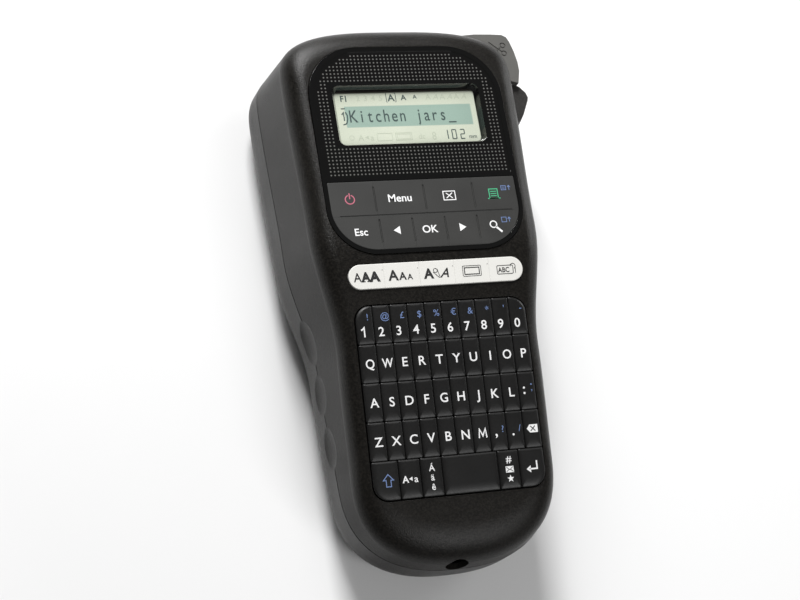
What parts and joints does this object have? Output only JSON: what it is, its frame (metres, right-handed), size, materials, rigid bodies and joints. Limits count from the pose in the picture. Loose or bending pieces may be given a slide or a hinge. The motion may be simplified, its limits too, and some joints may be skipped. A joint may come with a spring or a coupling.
{
  "type": "handheld label maker",
  "caption": "Handheld label maker with a letter keyboard, liquid crystal screen, side cutter lever, battery bay and tape drive inside.",
  "frame": {"origin": "on the flat of the back cover, midway along the body and on its centreline", "axes": "+X towards the cutter side, +Y towards the screen end, +Z out of the screen face; it lies on its back"},
  "size_m": [0.1105, 0.2075, 0.059],
  "materials": {
    "case_plastic": "fine matte grain",
    "gloss_black": "polished",
    "screen_glass": "clear",
    "lcd": "satin pale green",
    "white_plastic": "moulded",
    "mat_rubber": "matte",
    "circuit_board": "solder mask",
    "cable_film": "satin",
    "lever_plastic": "fine matte grain",
    "steel": "brushed",
    "spring_steel": "drawn wire",
    "guard_plastic": "matte",
    "ceramic": "glazed",
    "platen_rubber": "ground",
    "gear_plastic": "moulded",
    "holder_plastic": "moulded",
    "motor_steel": "drawn can",
    "brass": "turned",
    "cassette_plastic": "moulded",
    "tape": "satin film",
    "cell_metal": "printed sleeve",
    "jack_plastic": "moulded",
    "function_rubber": "satin coated",
    "strip_rubber": "satin",
    "key_plastic": "semi matte"
  },
  "bodies": {
    "case": {"front_case": "case_plastic", "rear_case": "case_plastic", "screen_bezel": "gloss_black", "screen_lens": "screen_glass", "lcd_module": "lcd", "lcd_holder": "white_plastic", "key_mat": "mat_rubber", "main_board": "circuit_board", "display_board": "circuit_board", "flat_cable": "cable_film", "lever_pin": "steel", "lever_spring": "spring_steel", "cutter_anvil": "steel", "tape_guard": "guard_plastic", "print_head": "ceramic", "head_bracket": "steel", "print_chassis": "steel", "drive_motor": "motor_steel", "tape_cassette": "cassette_plastic", "tape_roll": "tape", "batteries": "cell_metal", "battery_contacts": "spring_steel", "dc_jack": "jack_plastic", "case_screws": "steel"},
    "cover": {"back_cover": "case_plastic"},
    "latch": {"cover_latch": "case_plastic"},
    "lever": {"cutter_lever": "lever_plastic", "cutter_blade": "steel"},
    "platen_arm": {"platen_holder": "holder_plastic"},
    "platen": {"platen_roller": "platen_rubber", "platen_gear": "gear_plastic"},
    "motor_shaft": {"motor_pinion": "brass"},
    "large_idler": {"idler_gear_large": "gear_plastic"},
    "small_idler": {"idler_gear_small": "gear_plastic"},
    "ribbon": {"ribbon_spindle": "gear_plastic"},
    "key_power": {"key_power": "function_rubber"},
    "key_menu": {"key_menu": "function_rubber"},
    "key_clear": {"key_clear": "function_rubber"},
    "key_print": {"key_print": "function_rubber"},
    "key_escape": {"key_escape": "function_rubber"},
    "key_left": {"key_left": "function_rubber"},
    "key_ok": {"key_ok": "function_rubber"},
    "key_right": {"key_right": "function_rubber"},
    "key_preview": {"key_preview": "function_rubber"},
    "key_font": {"key_font": "strip_rubber"},
    "key_size": {"key_size": "strip_rubber"},
    "key_style": {"key_style": "strip_rubber"},
    "key_frame": {"key_frame": "strip_rubber"},
    "key_preset": {"key_preset": "strip_rubber"},
    "keys_row_numbers": {"keys_row_numbers": "key_plastic"},
    "keys_row_q": {"keys_row_q": "key_plastic"},
    "keys_row_a": {"keys_row_a": "key_plastic"},
    "keys_row_z": {"keys_row_z": "key_plastic"},
    "key_backspace": {"key_backspace": "key_plastic"},
    "key_shift": {"key_shift": "key_plastic"},
    "key_caps": {"key_caps": "key_plastic"},
    "key_accent": {"key_accent": "key_plastic"},
    "key_space": {"key_space": "key_plastic"},
    "key_symbol": {"key_symbol": "key_plastic"},
    "key_enter": {"key_enter": "key_plastic"}
  },
  "joints": [
    {"name": "lever_press", "type": "hinge", "parent": "case", "child": "lever", "pos_m": [0.036, 0.093, 0.03], "axis": [0, 0, 1], "range_deg": [-13, 0], "stiffness_Nm_per_rad": 0.25, "springref_deg": 6.88},
    {"name": "cover_open", "type": "hinge", "parent": "case", "child": "cover", "pos_m": [0, -0.1019, 0.0079], "axis": [-1, 0, 0], "range_deg": [0, 60]},
    {"name": "latch_press", "type": "slide", "parent": "cover", "child": "latch", "axis": [0, -1, 0], "range_m": [0, 0.0015], "stiffness_N_per_m": 400, "springref_m": -0.0005},
    {"name": "platen_release", "type": "hinge", "parent": "case", "child": "platen_arm", "pos_m": [-0.006, 0.094, 0.02], "axis": [0, 0, 1], "range_deg": [0, 4], "stiffness_Nm_per_rad": 0.2, "springref_deg": -2.86},
    {"name": "motor_turn", "type": "hinge", "parent": "case", "child": "motor_shaft", "pos_m": [-0.0179, 0.07561, 0.03], "axis": [0, 0, 1], "continuous": true},
    {"name": "large_idler_turn", "type": "hinge", "parent": "case", "child": "large_idler", "pos_m": [-0.00577, 0.06861, 0.03], "axis": [0, 0, 1], "continuous": true},
    {"name": "small_idler_turn", "type": "hinge", "parent": "case", "child": "small_idler", "pos_m": [0.00938, 0.07736, 0.03], "axis": [0, 0, 1], "continuous": true},
    {"name": "platen_turn", "type": "hinge", "parent": "platen_arm", "child": "platen", "pos_m": [0.014, 0.09005, 0.02], "axis": [0, 0, 1], "continuous": true},
    {"name": "ribbon_turn", "type": "hinge", "parent": "case", "child": "ribbon", "pos_m": [0.01068, 0.05911, 0.02], "axis": [0, 0, 1], "continuous": true},
    {"name": "press_power", "type": "slide", "parent": "case", "child": "key_power", "axis": [0, 0, 1], "range_m": [-0.0005, 0], "stiffness_N_per_m": 300, "springref_m": 0.0003},
    {"name": "press_menu", "type": "slide", "parent": "case", "child": "key_menu", "axis": [0, 0, 1], "range_m": [-0.0005, 0], "stiffness_N_per_m": 300, "springref_m": 0.0003},
    {"name": "press_clear", "type": "slide", "parent": "case", "child": "key_clear", "axis": [0, 0, 1], "range_m": [-0.0005, 0], "stiffness_N_per_m": 300, "springref_m": 0.0003},
    {"name": "press_print", "type": "slide", "parent": "case", "child": "key_print", "axis": [0, 0, 1], "range_m": [-0.0005, 0], "stiffness_N_per_m": 300, "springref_m": 0.0003},
    {"name": "press_escape", "type": "slide", "parent": "case", "child": "key_escape", "axis": [0, 0, 1], "range_m": [-0.0005, 0], "stiffness_N_per_m": 300, "springref_m": 0.0003},
    {"name": "press_left", "type": "slide", "parent": "case", "child": "key_left", "axis": [0, 0, 1], "range_m": [-0.0005, 0], "stiffness_N_per_m": 300, "springref_m": 0.0003},
    {"name": "press_ok", "type": "slide", "parent": "case", "child": "key_ok", "axis": [0, 0, 1], "range_m": [-0.0005, 0], "stiffness_N_per_m": 300, "springref_m": 0.0003},
    {"name": "press_right", "type": "slide", "parent": "case", "child": "key_right", "axis": [0, 0, 1], "range_m": [-0.0005, 0], "stiffness_N_per_m": 300, "springref_m": 0.0003},
    {"name": "press_preview", "type": "slide", "parent": "case", "child": "key_preview", "axis": [0, 0, 1], "range_m": [-0.0005, 0], "stiffness_N_per_m": 300, "springref_m": 0.0003},
    {"name": "press_font", "type": "slide", "parent": "case", "child": "key_font", "axis": [0, -0.1599, 0.9871], "range_m": [-0.0007, 0], "stiffness_N_per_m": 300, "springref_m": 0.0003},
    {"name": "press_size", "type": "slide", "parent": "case", "child": "key_size", "axis": [0, -0.1599, 0.9871], "range_m": [-0.0007, 0], "stiffness_N_per_m": 300, "springref_m": 0.0003},
    {"name": "press_style", "type": "slide", "parent": "case", "child": "key_style", "axis": [0, -0.1599, 0.9871], "range_m": [-0.0007, 0], "stiffness_N_per_m": 300, "springref_m": 0.0003},
    {"name": "press_frame", "type": "slide", "parent": "case", "child": "key_frame", "axis": [0, -0.1599, 0.9871], "range_m": [-0.0007, 0], "stiffness_N_per_m": 300, "springref_m": 0.0003},
    {"name": "press_preset", "type": "slide", "parent": "case", "child": "key_preset", "axis": [0, -0.1599, 0.9871], "range_m": [-0.0007, 0], "stiffness_N_per_m": 300, "springref_m": 0.0003},
    {"name": "press_row_numbers", "type": "slide", "parent": "case", "child": "keys_row_numbers", "axis": [0, -0.1599, 0.9871], "range_m": [-0.0007, 0], "stiffness_N_per_m": 300, "springref_m": 0.0003},
    {"name": "press_row_q", "type": "slide", "parent": "case", "child": "keys_row_q", "axis": [0, -0.1599, 0.9871], "range_m": [-0.0007, 0], "stiffness_N_per_m": 300, "springref_m": 0.0003},
    {"name": "press_row_a", "type": "slide", "parent": "case", "child": "keys_row_a", "axis": [0, -0.1599, 0.9871], "range_m": [-0.0007, 0], "stiffness_N_per_m": 300, "springref_m": 0.0003},
    {"name": "press_row_z", "type": "slide", "parent": "case", "child": "keys_row_z", "axis": [0, -0.1599, 0.9871], "range_m": [-0.0007, 0], "stiffness_N_per_m": 300, "springref_m": 0.0003},
    {"name": "press_backspace", "type": "slide", "parent": "case", "child": "key_backspace", "axis": [0, -0.1599, 0.9871], "range_m": [-0.0007, 0], "stiffness_N_per_m": 300, "springref_m": 0.0003},
    {"name": "press_shift", "type": "slide", "parent": "case", "child": "key_shift", "axis": [0, -0.1599, 0.9871], "range_m": [-0.0007, 0], "stiffness_N_per_m": 300, "springref_m": 0.0003},
    {"name": "press_caps", "type": "slide", "parent": "case", "child": "key_caps", "axis": [0, -0.1599, 0.9871], "range_m": [-0.0007, 0], "stiffness_N_per_m": 300, "springref_m": 0.0003},
    {"name": "press_accent", "type": "slide", "parent": "case", "child": "key_accent", "axis": [0, -0.1599, 0.9871], "range_m": [-0.0007, 0], "stiffness_N_per_m": 300, "springref_m": 0.0003},
    {"name": "press_space", "type": "slide", "parent": "case", "child": "key_space", "axis": [0, -0.1599, 0.9871], "range_m": [-0.0007, 0], "stiffness_N_per_m": 300, "springref_m": 0.0003},
    {"name": "press_symbol", "type": "slide", "parent": "case", "child": "key_symbol", "axis": [0, -0.1599, 0.9871], "range_m": [-0.0007, 0], "stiffness_N_per_m": 300, "springref_m": 0.0003},
    {"name": "press_enter", "type": "slide", "parent": "case", "child": "key_enter", "axis": [0, -0.1599, 0.9871], "range_m": [-0.0007, 0], "stiffness_N_per_m": 300, "springref_m": 0.0003}
  ],
  "couplings": [
    {"joint": "large_idler_turn", "follows": "motor_turn", "ratio": -0.4},
    {"joint": "small_idler_turn", "follows": "motor_turn", "ratio": 0.53333},
    {"joint": "platen_turn", "follows": "motor_turn", "ratio": -0.66667},
    {"joint": "ribbon_turn", "follows": "motor_turn", "ratio": 0.44444}
  ]
}
